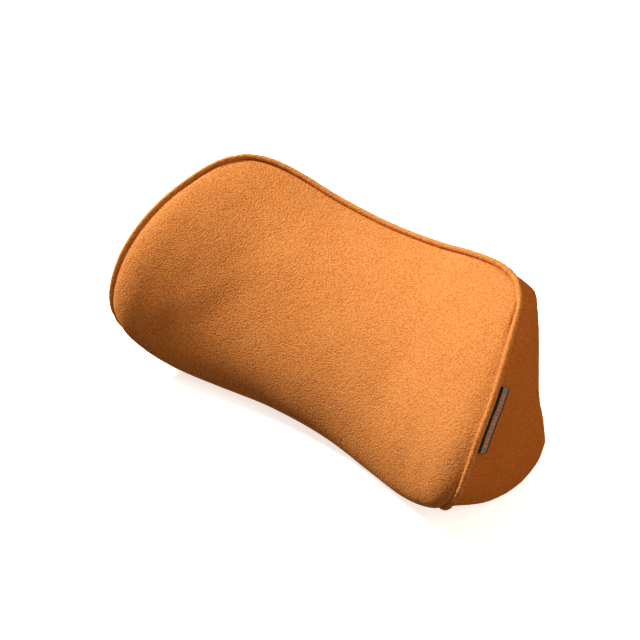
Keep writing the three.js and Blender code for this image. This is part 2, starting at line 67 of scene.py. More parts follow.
BB = [(0, 3, -50), (60, 3, -49), (105, 3, -45.5), (125, -3, -43.5), (142, -9.5, -41.5), (156, -13.5, -39)]
TS = [(131, -51, 83.5), (130, -35, 77), (128, -19, 69)]
US = [(156, -13.5, -39), (156, -22, -56), (154, -41, -66.5), (153, -70, -64.5), (153.5, -98, -54), (154, -131.5, -37)]
CROWN = 42.3
PIPE_R = 2.2
NU, NV, NW = 73, 45, 17          # points along, up and through the cushion on the mesh that is simulated
K = 4                            # how much finer the final mesh is
MIR = np.array([-1.0, 1.0, 1.0])


def unit(a):
    return a / np.maximum(np.linalg.norm(a, axis=-1, keepdims=True), 1e-12)


def curve(points, n):
    """n points at equal steps of length along a smooth curve through points."""
    p = np.asarray(points, float)
    q = np.vstack([2 * p[0] - p[1], p, 2 * p[-1] - p[-2]])
    t = np.linspace(0, 1, 24, endpoint=False)[:, None]
    out = []
    for i in range(1, len(q) - 2):
        a, b, c, d = q[i - 1], q[i], q[i + 1], q[i + 2]
        out.append(0.5 * (2 * b + (c - a) * t + (2 * a - 5 * b + 4 * c - d) * t * t + (3 * b - a - 3 * c + d) * t ** 3))
    f = np.vstack(out + [p[-1:]])
    s = np.r_[0, np.cumsum(np.linalg.norm(np.diff(f, axis=0), axis=1))]
    w = np.linspace(0, s[-1], n)
    return np.column_stack([np.interp(w, s, f[:, k]) for k in range(f.shape[1])])


def whole(half):
    p = np.asarray(half, float)
    return np.vstack([(p * MIR)[:0:-1], p])


def bump(t, p):
    return np.maximum(0, 1 - np.abs(2 * t - 1) ** p)


def coons(a, b, c, d, nu, nv):
    A, B, C, D = curve(a, nu), curve(b, nu), curve(c, nv), curve(d, nv)
    u = np.linspace(0, 1, nu)[:, None, None]
    v = np.linspace(0, 1, nv)[None, :, None]
    p = (1 - v) * A[:, None] + v * B[:, None] + (1 - u) * C[None] + u * D[None]
    p = p - ((1 - u) * (1 - v) * A[0] + u * (1 - v) * A[-1] + (1 - u) * v * B[0] + u * v * B[-1])
    return p, u[..., 0], v[..., 0]


def front_patch(nu, nv, crown):
    p, u, v = coons(whole(FT), whole(FB), np.asarray(FE) * MIR, FE, nu, nv)
    x = 2 * u - 1
    # level across the waist, then rising at a slanted, rounded valley to each wing
    waist = 0.68 + 0.064 * np.logaddexp(0, (np.abs(x) - 0.41 + 0.60 * (v - 0.5)) / 0.066)
    h = crown * waist * bump(u, 2.01) ** 0.52 * bump(v ** 1.34, 2.76) ** 0.81
    d = unit(np.stack(np.broadcast_arrays(-1.30 * x ** 3, -1.0, -0.57 * (2.2 * v - 0.02)), -1))
    return p + h[..., None] * d


def patches(k, crown, swell=1.0):
    """Every panel's grid at k times the simulated mesh's fineness."""
    nu, nv, nw = (NU - 1) * k + 1, (NV - 1) * k + 1, (NW - 1) * k + 1
    g = {"front": front_patch(nu, nv, crown)}
    g["back"] = coons(whole(BT), whole(BB), np.asarray(BE) * MIR, BE, nu, nv)[0]
    g["top"] = coons(whole(FT), whole(BT), np.asarray(TS) * MIR, TS, nu, nw)[0]
    p, u, v = coons(whole(BB), whole(FB), np.asarray(US) * MIR, US, nu, nw)
    p[..., 2] += 17 * bump(u, 2) * bump(v, 2)
    g["bottom"] = p
    p, u, v = coons(FE, BE, TS, US[::-1], nv, nw)
    p[..., 0] += 5 * swell * bump(u, 2.5) * bump(v, 2.5)
    g["right"] = p
    for a in g.values():
        a[..., 1] = np.minimum(a[..., 1], 0)
    g["left"] = g["right"] * MIR
    return g


MIDDLE = np.array([0, -55.0, 0])


def normals(s):
    n = unit(np.cross(np.gradient(s, axis=0), np.gradient(s, axis=1)))
    if np.sum(n * (s - MIDDLE)) < 0:
        n = -n
    return n


# which seam each border of a panel is: (name, reversed, piped)
BORDERS = {
    "front": {"v0": ("FT", 0, 1), "v1": ("FB", 0, 1), "u0": ("FEl", 0, 1), "u1": ("FEr", 0, 1)},
    "back": {"v0": ("BT", 0, 0), "v1": ("BB", 0, 0), "u0": ("BEl", 0, 0), "u1": ("BEr", 0, 0)},
    "top": {"v0": ("FT", 0, 1), "v1": ("BT", 0, 0), "u0": ("TSl", 0, 0), "u1": ("TSr", 0, 0)},
    "bottom": {"v0": ("BB", 0, 0), "v1": ("FB", 0, 1), "u0": ("USl", 0, 0), "u1": ("USr", 0, 0)},
    "right": {"v0": ("FEr", 0, 1), "v1": ("BEr", 0, 0), "u0": ("TSr", 0, 0), "u1": ("USr", 1, 0)},
    "left": {"v0": ("FEl", 0, 1), "v1": ("BEl", 0, 0), "u0": ("TSl", 0, 0), "u1": ("USl", 1, 0)},
}


def border(a, which):
    return {"v0": a[:, 0], "v1": a[:, -1], "u0": a[0], "u1": a[-1]}[which]


def new_mesh(name, verts, faces, smooth=True, mats=None, index=None):
    """verts in mm; faces is an array of quads, or a list of polygons."""
    me = bpy.data.meshes.new(name)
    v = np.asarray(verts, float) * 0.001
    if isinstance(faces, np.ndarray):
        me.vertices.add(len(v))
        me.vertices.foreach_set("co", v.astype(np.float32).ravel())
        me.loops.add(faces.size)
        me.loops.foreach_set("vertex_index", faces.astype(np.int32).ravel())
        me.polygons.add(len(faces))
        me.polygons.foreach_set("loop_start", np.arange(0, faces.size, faces.shape[1], dtype=np.int32))
        me.update(calc_edges=True)
    else:
        me.from_pydata(v.tolist(), [], [list(f) for f in faces])
    me.validate()
    me.polygons.foreach_set("use_smooth", np.full(len(me.polygons), smooth))
    ob = bpy.data.objects.new(name, me)
    bpy.context.scene.collection.objects.link(ob)
    for m in mats or []:
        me.materials.append(m)
    if index is not None:
        me.polygons.foreach_set("material_index", np.asarray(index, np.int32))
    return ob


def grid_faces(nu, nv, start=0, flip=False, close_u=False, close_v=False):
    iu = np.arange(nu if close_u else nu - 1)
    iv = np.arange(nv if close_v else nv - 1)
    i, j = np.meshgrid(iu, iv, indexing="ij")
    a = i * nv + j
    b = ((i + 1) % nu) * nv + j
    c = ((i + 1) % nu) * nv + (j + 1) % nv
    d = i * nv + (j + 1) % nv
    f = np.stack([a, b, c, d], -1).reshape(-1, 4) + start
    return f[:, ::-1] if flip else f


def signed_volume(v, f):
    a, b, c, d = (v[f[:, k]] for k in range(4))
    return float(np.sum(np.cross(b, c) * a) + np.sum(np.cross(c, d) * a))


# ------------------------------------------------------------------ the cloth pass
def weld(g):
    """All six panels as one closed mesh: points, quads, and each panel's own point numbers."""
    verts, key, ids, faces = [], {}, {}, []
    for name, a in g.items():
        idx = np.zeros(a.shape[:2], int)
        for i in range(a.shape[0]):
            for j in range(a.shape[1]):
                k = tuple(np.round(a[i, j] * 20).astype(int))
                if k not in key:
                    key[k] = len(verts)
                    verts.append(a[i, j])
                idx[i, j] = key[k]
        ids[name] = idx
        f = np.stack([idx[:-1, :-1], idx[1:, :-1], idx[1:, 1:], idx[:-1, 1:]], -1).reshape(-1, 4)
        v = np.asarray(verts)
        n = np.cross(v[f[:, 2]] - v[f[:, 0]], v[f[:, 3]] - v[f[:, 1]])
        if np.sum(n * (v[f].mean(1) - MIDDLE)) < 0:
            f = f[:, ::-1]
        faces.append(f)
    return np.asarray(verts), np.vstack(faces), ids


def inflate(g, caps):
    """Cloth under a little pressure, held along every seam. Gives each panel's movement, in mm."""
    verts, faces, ids = weld(g)
    ob = new_mesh("cloth_pass", verts, faces)
    held = np.zeros(len(verts))
    for name, idx in ids.items():
        for w in ("v0", "v1", "u0", "u1"):
            held[border(idx, w)] = 1.0
    held[ids["back"].ravel()] = 1.0              # it lies flat against the chair
    group = ob.vertex_groups.new(name="held")
    for i in np.nonzero(held)[0]:
        group.add([int(i)], 1.0, "REPLACE")
    mod = ob.modifiers.new("Cloth", "CLOTH")
    c = mod.settings
    c.quality = 6
    c.mass = 0.3
    c.tension_stiffness = c.compression_stiffness = 18
    c.shear_stiffness = 8
    c.bending_stiffness = 0.8
    c.use_pressure = True
    c.uniform_pressure_force = 4.0
    c.vertex_group_mass = "held"
    c.pin_stiffness = 20
    c.effector_weights.gravity = 0.0
    mod.collision_settings.use_collision = False
    sc = bpy.context.scene
    mod.point_cache.frame_start, mod.point_cache.frame_end = 1, 20
    for f in range(1, 21):
        sc.frame_set(f)
    e = ob.evaluated_get(bpy.context.evaluated_depsgraph_get())
    co = np.zeros(len(e.data.vertices) * 3, np.float32)
    e.data.vertices.foreach_get("co", co)
    moved = co.reshape(-1, 3).astype(float) * 1000 - verts
    sc.frame_set(1)
    bpy.data.objects.remove(ob)
    out = {}
    for name, idx in ids.items():
        d = moved[idx]
        size = np.linalg.norm(d, axis=-1, keepdims=True)
        cap = caps[name]
        d = d * np.minimum(1.0, cap * np.tanh(size / cap) / np.maximum(size, 1e-9))
        for _ in range(12):                      # a foam core holds the cover out without creases
            e = np.pad(d, ((1, 1), (1, 1), (0, 0)), mode="edge")
            d = 0.4 * d + 0.15 * (e[:-2, 1:-1] + e[2:, 1:-1] + e[1:-1, :-2] + e[1:-1, 2:])
            for w in ("v0", "v1", "u0", "u1"):
                border(d, w)[:] = 0
        out[name] = d
    print("cloth pass moved, mm:", {k: round(float(np.abs(v).max()), 2) for k, v in out.items()})
    return out


def finer(n, k):
    """Matrix that takes n samples to (n-1)k+1 on smooth curves through them."""
    m = np.zeros(((n - 1) * k + 1, n))
    for r in range(m.shape[0]):
        i, t = min(r // k, n - 2), r / k - min(r // k, n - 2)
        w = [-0.5 * t + t * t - 0.5 * t ** 3, 1 - 2.5 * t * t + 1.5 * t ** 3, 0.5 * t + 2 * t * t - 1.5 * t ** 3, -0.5 * t * t + 0.5 * t ** 3]
        for o, x in zip((-1, 0, 1, 2), w):
            j = i + o
            if j < 0:
                m[r, 0] += 2 * x; m[r, 1] -= x
            elif j > n - 1:
                m[r, n - 1] += 2 * x; m[r, n - 2] -= x
            else:
                m[r, j] += x
    return m


START_CROWN = CROWN + 0.8
fine = patches(K, START_CROWN, 1.4)
moves = inflate(patches(1, START_CROWN, 1.4), {"front": 3.0, "back": 0.2, "top": 1.5, "bottom": 2.0, "right": 1.6, "left": 1.6})
for name, d in moves.items():
    up = np.einsum("ai,ijk,bj->abk", finer(d.shape[0], K), d, finer(d.shape[1], K))
    for w in ("v0", "v1", "u0", "u1"):
        border(up, w)[:] = 0
    fine[name] = fine[name] + up
    fine[name][..., 1] = np.minimum(fine[name][..., 1], 0)


# ------------------------------------------------------------------ seams, puckers and soft unevenness
def noise_line(s, waves, seed):
    r = np.random.RandomState(seed)
    out = np.zeros_like(s)
    for w, a in waves:
        for _ in range(3):
            out += a / 3 * np.sin(2 * np.pi * s / (w * r.uniform(0.8, 1.25)) + r.uniform(0, 6.28))
    return out


def noise_field(p, waves, seed):
    r = np.random.RandomState(seed)
    out = np.zeros(p.shape[:-1])
    for w, a in waves:
        for _ in range(6):
            d = unit(r.normal(size=3))
            out += a / 3 * np.sin(2 * np.pi * (p @ d) / (w * r.uniform(0.8, 1.3)) + r.uniform(0, 6.28))
    return out


seam_normal = {}
own_normal = {name: normals(s) for name, s in fine.items()}
for name, rows in BORDERS.items():
    for w, (seam, rev, _) in rows.items():
        n = border(own_normal[name], w)
        n = n[::-1] if rev else n
        seam_normal[seam] = seam_normal.get(seam, 0) + n
seam_normal = {k: unit(v) for k, v in seam_normal.items()}


def smoothstep(x):
    x = np.clip(x, 0, 1)
    return x * x * (3 - 2 * x)


def distances(s):
    """How far each point is from each border, along the grid, and its place along that border."""
    lu = np.concatenate([np.zeros((1, s.shape[1])), np.cumsum(np.linalg.norm(np.diff(s, axis=0), axis=-1), axis=0)])
    lv = np.concatenate([np.zeros((s.shape[0], 1)), np.cumsum(np.linalg.norm(np.diff(s, axis=1), axis=-1), axis=1)], axis=1)
    return {"u0": lu, "u1": lu[-1:] - lu, "v0": lv, "v1": lv[:, -1:] - lv}


def sew(name, s):
    """The panel's outside with its seams pulled in, and the directions in which its cloth has thickness."""
    n, d = own_normal[name], distances(s)
    out, inward = s.copy(), n.copy()
    for w, (seam, rev, piped) in BORDERS[name].items():
        sn = seam_normal[seam][::-1] if rev else seam_normal[seam]
        sn = sn[:, None] if w[0] == "v" else sn[None]
        x = d[w][..., None]
        inward = inward + (sn - inward) * (1 - smoothstep(x / 5))
    inward = unit(inward)
    depth = np.zeros(s.shape[:2])
    for w, (seam, rev, piped) in BORDERS[name].items():
        x = d[w]
        line = border(s, w)
        arc = np.r_[0, np.cumsum(np.linalg.norm(np.diff(line, axis=0), axis=1))]
        if rev:
            arc = arc[-1] - arc
        arc = arc[:, None] if w[0] == "v" else arc[None]
        seed = sum(map(ord, seam + name))
        arc = arc + 0.25 * x * np.sin(arc / 17.0)
        arc = np.broadcast_to(arc, x.shape)
        if piped:
            depth += -0.95 * np.exp(-((x - 2.4) / 1.1) ** 2) - 0.35 * np.exp(-x / 5.0)
            depth += noise_line(arc, [(6.5, 0.05), (11, 0.07), (23, 0.09)], seed) * np.exp(-x / 5.5) * (1 - np.exp(-x / 1.2))
        else:
            depth += -0.85 * np.exp(-((x) / 1.3) ** 2) - 0.3 * np.exp(-x / 4.0)
            depth += noise_line(arc, [(6, 0.10), (11, 0.13), (19, 0.12)], seed) * np.exp(-x / 6.0) * (1 - np.exp(-x / 1.0))
    rim = np.minimum.reduce([d[k] for k in d])
    if name != "back":
        depth += noise_field(s, [(46, 0.06), (27, 0.035), (15, 0.02)], 11) * smoothstep(rim / 14)
    else:
        depth = np.minimum(depth + noise_field(s, [(30, 0.08), (14, 0.05)], 12) * smoothstep(rim / 14), 0.12)
    out = out + depth[..., None] * inward
    return out, inward


sewn = {name: sew(name, s) for name, s in fine.items()}


def shell(name, outer, inward, thick, mats):
    nu, nv = outer.shape[:2]
    a = outer.reshape(-1, 3)
    b = (outer - inward * thick).reshape(-1, 3)
    f = grid_faces(nu, nv)
    n = np.cross(a[f[:, 2]] - a[f[:, 0]], a[f[:, 3]] - a[f[:, 1]])
    flip = np.sum(n * inward.reshape(-1, 3)[f[:, 0]]) < 0
    loop = [i * nv for i in range(nu - 1)] + [(nu - 1) * nv + j for j in range(nv - 1)] + [i * nv + nv - 1 for i in range(nu - 1, 0, -1)] + [j for j in range(nv - 1, 0, -1)]
    loop = np.asarray(loop)
    nxt = np.roll(loop, -1)
    wall = np.stack([loop, loop + nu * nv, nxt + nu * nv, nxt], -1)
    faces = np.vstack([f, f[:, ::-1] + nu * nv, wall[:, ::-1]])
    if flip:
        faces = faces[:, ::-1]
    v = np.vstack([a, b])
    return new_mesh(name, v, faces, mats=mats)


# ------------------------------------------------------------------ materials
class Look:
    """A node material: kept short so that each recipe reads as one."""

    def __init__(self, name, rough, metal=0.0, sheen=0.0, sheen_tint=(1, 1, 1), sheen_rough=0.5, spec=0.5, coat=0.0):
        self.m = bpy.data.materials.new(name)
        self.m.use_nodes = True
        self.t = self.m.node_tree
        self.t.nodes.clear()
        out = self.t.nodes.new("ShaderNodeOutputMaterial")
        self.b = self.t.nodes.new("ShaderNodeBsdfPrincipled")
        self.t.links.new(self.b.outputs[0], out.inputs[0])
        self.co = self.t.nodes.new("ShaderNodeTexCoord").outputs["Object"]
        i = self.b.inputs
        i["Roughness"].default_value = rough
        i["Metallic"].default_value = metal
        i["Sheen Weight"].default_value = sheen
        i["Sheen Tint"].default_value = (*sheen_tint, 1)
        i["Sheen Roughness"].default_value = sheen_rough
        i["Specular IOR Level"].default_value = spec
        i["Coat Weight"].default_value = coat

    def n(self, kind, ins=None, out=0, **props):
        x = self.t.nodes.new("ShaderNode" + kind)
        for k, v in props.items():
            setattr(x, k, v)
        for k, v in (ins or {}).items():
            if isinstance(v, bpy.types.NodeSocket):
                self.t.links.new(v, x.inputs[k])
            else:
                x.inputs[k].default_value = v
        return x.outputs[out]

    def math(self, op, a, b=0.0, clamp=False):
        return self.n("Math", {0: a, 1: b}, operation=op, use_clamp=clamp)

    def noise(self, scale, detail=3.0, rough=0.55, vec=None, dist=0.0):
        return self.n("TexNoise", {"Vector": vec or self.co, "Scale": scale, "Detail": detail, "Roughness": rough, "Distortion": dist})

    def voronoi(self, scale, vec=None, feature="F1", rand=1.0, smooth=None):
        ins = {"Vector": vec or self.co, "Scale": scale, "Randomness": rand}
        if smooth is not None:
            ins["Smoothness"] = smooth
        return self.n("TexVoronoi", ins, "Distance", feature=feature)

    def span(self, v, a, b, c, d):
        return self.n("MapRange", {"Value": v, "From Min": a, "From Max": b, "To Min": c, "To Max": d})

    def mix(self, f, a, b, blend="MIX"):
        x = self.t.nodes.new("ShaderNodeMix")
        x.data_type, x.blend_type = "RGBA", blend
        for k, v in ((0, f), (6, a), (7, b)):
            if isinstance(v, bpy.types.NodeSocket):
                self.t.links.new(v, x.inputs[k])
            else:
                x.inputs[k].default_value = (*v, 1) if isinstance(v, tuple) else v
        return x.outputs[2]

    def scaled(self, sx, sy, sz, rot=(0, 0, 0)):
        return self.n("Mapping", {"Vector": self.co, "Scale": (sx, sy, sz), "Rotation": rot})

    def stripes(self, pitch, axis):
        """A sine along one of the piece's axes: 0 to 1, once every pitch metres."""
        s = self.n("SeparateXYZ", {"Vector": self.co}, axis)
        return self.span(self.n("Math", {0: self.math("MULTIPLY", s, 2 * math.pi / pitch)}, operation="SINE"), -1, 1, 0, 1)

    def colour(self, c):
        self.t.links.new(c, self.b.inputs["Base Color"])

    def bumps(self, height, strength, distance):
        n = self.n("Bump", {"Height": height, "Strength": strength, "Distance": distance})
        self.t.links.new(n, self.b.inputs["Normal"])

    def roughness(self, v):
        self.t.links.new(v, self.b.inputs["Roughness"])


def suede(name, base, deep, worn, strength=0.55):
    k = Look(name, 0.9, sheen=0.05, sheen_tint=(1.0, 0.62, 0.30), sheen_rough=0.45, spec=0.15)
    warp = k.n("VectorMath", {0: k.co, 1: k.n("VectorMath", {0: k.n("TexNoise", {"Vector": k.co, "Scale": 700.0, "Detail": 2.0}, "Color"), 1: (0.0007, 0.0007, 0.0007)}, operation="MULTIPLY")}, operation="ADD")
    pebble = k.voronoi(820.0, warp, "SMOOTH_F1", smooth=0.4)
    curl = k.noise(1050.0, 3.0, 0.6, dist=0.3)
    nap = k.noise(2700.0, 2.0, 0.6)
    patchy = k.noise(26.0, 3.0, 0.5)
    cloud = k.noise(9.0, 2.0, 0.5)
    h = k.math("MULTIPLY", k.math("SUBTRACT", 0.75, pebble), 1.0)
    h = k.math("ADD", h, k.math("MULTIPLY", curl, 0.9))
    h = k.math("ADD", h, k.math("MULTIPLY", nap, 0.16))
    tone = k.span(h, 0.55, 1.35, 0.0, 1.0)
    c = k.mix(tone, deep, base)
    c = k.mix(k.span(patchy, 0.35, 0.75, 0.0, 0.10), c, worn)
    c = k.mix(k.span(cloud, 0.3, 0.7, 0.0, 0.05), c, deep)
    k.colour(c)
    k.roughness(k.span(curl, 0.3, 0.7, 0.84, 0.96))
    k.bumps(h, strength, 0.0007)
    return k.m


SUEDE = suede("suede", (0.76, 0.395, 0.172), (0.52, 0.210, 0.060), (0.83, 0.47, 0.225))
# The same suede as the front with less green and blue. This darker, more saturated copy is painted shade in the colour
# of the gussets, the back and the slot's hem.
SUEDE_PAINTED_SHADE = suede("suede_side", (0.75, 0.320, 0.088), (0.51, 0.170, 0.034), (0.80, 0.37, 0.110))


def make_label_looks():
    a = Look("label_face", 0.8, sheen=0.15, spec=0.3)
    s = a.scaled(1, 1, 1)
    rib = a.n("TexWave", {"Vector": a.co, "Scale": 620.0, "Distortion": 0.6, "Detail": 1.0}, "Fac", wave_type="BANDS", bands_direction="Z")
    cross_rib = a.n("TexWave", {"Vector": a.co, "Scale": 520.0, "Distortion": 0.4}, "Fac", wave_type="BANDS", bands_direction="Y")
    weave = a.math("MULTIPLY", rib, cross_rib)
    a.colour(a.mix(a.span(a.math("ADD", weave, a.math("MULTIPLY", a.noise(900.0), 0.5)), 0.1, 1.2, 0, 1), (0.24, 0.195, 0.165), (0.50, 0.415, 0.36)))
    a.bumps(weave, 0.6, 0.0003)
    # Near-black: the ribbon's dark fold edge, and also painted shadow on the strip beside the piping, where the raised
    # ribbon's shade falls.
    b = Look("label_edge_and_painted_shadow", 0.75, sheen=0.1, spec=0.3)
    w = b.n("TexWave", {"Vector": b.co, "Scale": 900.0, "Distortion": 0.8}, "Fac", wave_type="BANDS", bands_direction="Z")
    b.colour(b.mix(w, (0.010, 0.012, 0.009), (0.030, 0.034, 0.026)))
    b.bumps(w, 0.5, 0.0002)
    c = Look("label_thread", 0.55, sheen=0.3, spec=0.4)
    w = c.noise(2500.0, 3.0)
    c.colour(c.mix(c.span(w, 0.3, 0.7, 0, 1), (0.78, 0.16, 0.07), (0.98, 0.36, 0.20)))
    c.bumps(w, 0.4, 0.0002)
    return a.m, b.m, c.m


LABEL_FACE, LABEL_EDGE_AND_SHADOW, LABEL_THREAD = make_label_looks()


def fabric(name, a, b, weave=700.0, rough=0.88, sheen=0.2, strength=0.5, dist=0.0003, kind="knit"):
    k = Look(name, rough, sheen=sheen, spec=0.2)
    if kind == "foam":
        cell = k.voronoi(weave, None, "F1")
        fine_ = k.voronoi(weave * 2.6, None, "F1")
        h = k.math("ADD", cell, k.math("MULTIPLY", fine_, 0.5))
    else:
        x = k.n("TexWave", {"Vector": k.co, "Scale": weave, "Distortion": 1.2, "Detail": 1.0}, "Fac", wave_type="BANDS", bands_direction="X")
        z = k.n("TexWave", {"Vector": k.co, "Scale": weave * 0.8, "Distortion": 1.2, "Detail": 1.0}, "Fac", wave_type="BANDS", bands_direction="Z")
        h = k.math("MULTIPLY", x, z)
    k.colour(k.mix(k.span(k.math("ADD", k.math("MULTIPLY", h, 0.7), k.math("MULTIPLY", k.noise(60.0), 0.6)), 0.1, 1.0, 0, 1), a, b))
    k.bumps(h, strength, dist)
    return k.m


FOAM = fabric("foam_cells", (0.62, 0.52, 0.33), (0.86, 0.79, 0.62), 900.0, kind="foam")
LINER = fabric("liner_knit", (0.62, 0.61, 0.56), (0.83, 0.82, 0.77), 420.0)
CORD = fabric("cotton_cord", (0.66, 0.63, 0.56), (0.88, 0.86, 0.81), 900.0)
TAPE = fabric("zip_tape_weave", (0.20, 0.062, 0.014), (0.40, 0.145, 0.038), 800.0, kind="weave")


def webbing():
    k = Look("webbing", 0.82, sheen=0.25, sheen_tint=(0.7, 0.7, 0.75), spec=0.25)
    lint = k.noise(90.0, 4.0, 0.6)
    yarn = k.noise(2400.0, 3.0, 0.6)
    k.colour(k.mix(k.span(k.math("ADD", k.math("MULTIPLY", yarn, 0.7), k.math("MULTIPLY", lint, 0.5)), 0.35, 0.85, 0, 1), (0.013, 0.013, 0.015), (0.050, 0.050, 0.055)))
    k.bumps(yarn, 0.5, 0.0002)
    return k.m


def plastic():
    k = Look("buckle_plastic", 0.42, spec=0.45)
    grain = k.noise(3200.0, 3.0, 0.6)
    scuff = k.noise(140.0, 5.0, 0.65, dist=1.2)
    k.colour(k.mix(k.span(scuff, 0.45, 0.75, 0, 1), (0.016, 0.016, 0.018), (0.034, 0.034, 0.036)))
    k.roughness(k.span(k.math("ADD", k.math("MULTIPLY", grain, 0.4), k.math("MULTIPLY", scuff, 0.6)), 0.3, 0.7, 0.34, 0.56))
    k.bumps(grain, 0.25, 0.00012)
    return k.m


def metal():
    k = Look("zip_nickel", 0.42, metal=1.0, spec=0.5)
    brush = k.n("TexNoise", {"Vector": k.scaled(300, 3200, 3200), "Scale": 1.0, "Detail": 3.0})
    spot = k.noise(320.0, 4.0, 0.6)
    k.colour(k.mix(k.span(spot, 0.4, 0.7, 0, 1), (0.30, 0.29, 0.27), (0.42, 0.41, 0.39)))
    k.roughness(k.span(brush, 0.3, 0.7, 0.22, 0.42))
    k.bumps(brush, 0.15, 0.00008)
    return k.m


def coil():
    k = Look("zip_coil", 0.45, spec=0.4)
    s = k.noise(700.0, 3.0)
    k.colour(k.mix(s, (0.20, 0.066, 0.016), (0.34, 0.125, 0.034)))
    k.roughness(k.span(s, 0.3, 0.7, 0.38, 0.55))
    k.bumps(k.noise(2600.0), 0.2, 0.0001)
    return k.m


def thread(name, a, b):
    k = Look(name, 0.6, sheen=0.25, spec=0.3)
    w = k.noise(3000.0, 3.0)
    k.colour(k.mix(k.span(w, 0.3, 0.7, 0, 1), a, b))
    k.bumps(w, 0.4, 0.00015)
    return k.m


WEBBING, PLASTIC, METAL, COIL = webbing(), plastic(), metal(), coil()
THREAD = thread("thread_tan", (0.45, 0.15, 0.035), (0.66, 0.26, 0.075))
THREAD_DARK = thread("thread_black", (0.02, 0.02, 0.022), (0.065, 0.065, 0.07))


# ------------------------------------------------------------------ the cover
made = {}


def place(ob, body="cushion", stands_for=()):
    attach(ob, body)
    if stands_for:
        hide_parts(*stands_for)
    made[ob.name] = ob
    return ob


# Every panel but the front wears the darker suede copy, whose colour is painted shade.
PANELS = [
    ("front", "cover_front", SUEDE, "suede", "front_panel", 0.95),
    ("top", "cover_top", SUEDE_PAINTED_SHADE, "suede_side", "top_gusset", 0.8),
    ("bottom", "cover_bottom", SUEDE_PAINTED_SHADE, "suede_side", "bottom_gusset", 0.8),
    ("right", "cover_end_right", SUEDE_PAINTED_SHADE, "suede_side", "end_gusset_right", 0.85),
    ("left", "cover_end_left", SUEDE_PAINTED_SHADE, "suede_side", "end_gusset_left", 0.85),
    ("back", "cover_back", SUEDE_PAINTED_SHADE, "suede_side", "back_panel", 0.8),
]
ZIP_LO, ZIP_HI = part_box("zip_tape_lower")[0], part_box("zip_tape_upper")[1]
ZIP_Z = (ZIP_LO.z + ZIP_HI.z) * 500
for key, name, look, slot_, node, fill in PANELS:
    outer, inward = sewn[key]
    ob = shell(name, outer, inward, 1.2, [look])
    if key == "back":                     # the slot that the zip closes
        cut = new_mesh("slot_cut", np.array([[x, y, z] for x in (-102.4, 102.4) for y in (-9, 6) for z in (ZIP_Z - 7.4, ZIP_Z + 7.4)], float),
                       [[0, 1, 3, 2], [4, 6, 7, 5], [0, 4, 5, 1], [2, 3, 7, 6], [0, 2, 6, 4], [1, 5, 7, 3]], smooth=False)
        b = ob.modifiers.new("slot", "BOOLEAN")
        b.operation, b.object, b.solver = "DIFFERENCE", cut, "EXACT"
        bpy.context.view_layer.update()
        e = ob.evaluated_get(bpy.context.evaluated_depsgraph_get())
        me = bpy.data.meshes.new_from_object(e)
        ob.modifiers.clear()
        ob.data = me
        bpy.data.objects.remove(cut)
    place(ob, stands_for=[node])

# ------------------------------------------------------------------ tubes
def tube(name, line, outward, radius, sides, closed, mats, wobble=None, bore=None):
    """A tube of changing radius along a line, with a frame that leans outward."""
    n = len(line)
    if closed:
        t = unit(np.roll(line, -1, 0) - np.roll(line, 1, 0))
    else:
        t = unit(np.gradient(line, axis=0))
    o = unit(outward - np.sum(outward * t, -1, keepdims=True) * t)
    s = np.cross(t, o)
    a = np.linspace(0, 2 * np.pi, sides, endpoint=False)
    r = np.full((n, sides), radius) if wobble is None else radius + wobble
    v = line[:, None] + r[..., None] * (np.cos(a)[None, :, None] * o[:, None] + np.sin(a)[None, :, None] * s[:, None])
    v = v.reshape(-1, 3)
    f = grid_faces(n, sides, close_u=closed, close_v=True)
    if signed_volume(v, f) < 0:
        f = f[:, ::-1]
    if not closed:
        caps_v = np.vstack([line[0], line[-1]])
        k = len(v)
        v = np.vstack([v, caps_v])
        i = np.arange(sides)
        c0 = np.stack([np.full(sides, k), (i + 1) % sides, i, i], -1)
        c1 = np.stack([np.full(sides, k + 1), (n - 1) * sides + i, (n - 1) * sides + (i + 1) % sides, (n - 1) * sides + (i + 1) % sides], -1)
        polys = [list(x) for x in f] + [[int(p[0]), int(p[1]), int(p[2])] for p in c0] + [[int(p[0]), int(p[1]), int(p[2])] for p in c1]
        ob = new_mesh(name, v, polys, mats=mats)
        import bmesh
        bm = bmesh.new(); bm.from_mesh(ob.data)
        bmesh.ops.recalc_face_normals(bm, faces=bm.faces)
        bm.to_mesh(ob.data); bm.free()
        return ob
    if bore:
        w = line[:, None] + bore * (np.cos(a)[None, :, None] * o[:, None] + np.sin(a)[None, :, None] * s[:, None])
        g = grid_faces(n, sides, close_u=closed, close_v=True, start=len(v))
        w = w.reshape(-1, 3)
        if signed_volume(np.vstack([v, w]), g) > 0:
            g = g[:, ::-1]
        v, f = np.vstack([v, w]), np.vstack([f, g])
    return new_mesh(name, v, f, mats=mats)


F = fine["front"]
loop = np.vstack([F[:-1, 0], F[-1, :-1], F[:0:-1, -1], F[0, :0:-1]])
loop_out = np.vstack([seam_normal["FT"][:-1], seam_normal["FEr"][:-1], seam_normal["FB"][:0:-1], seam_normal["FEl"][:0:-1]])
for _ in range(6):
    loop_out = unit(loop_out + 0.5 * (np.roll(loop_out, 1, 0) + np.roll(loop_out, -1, 0)))
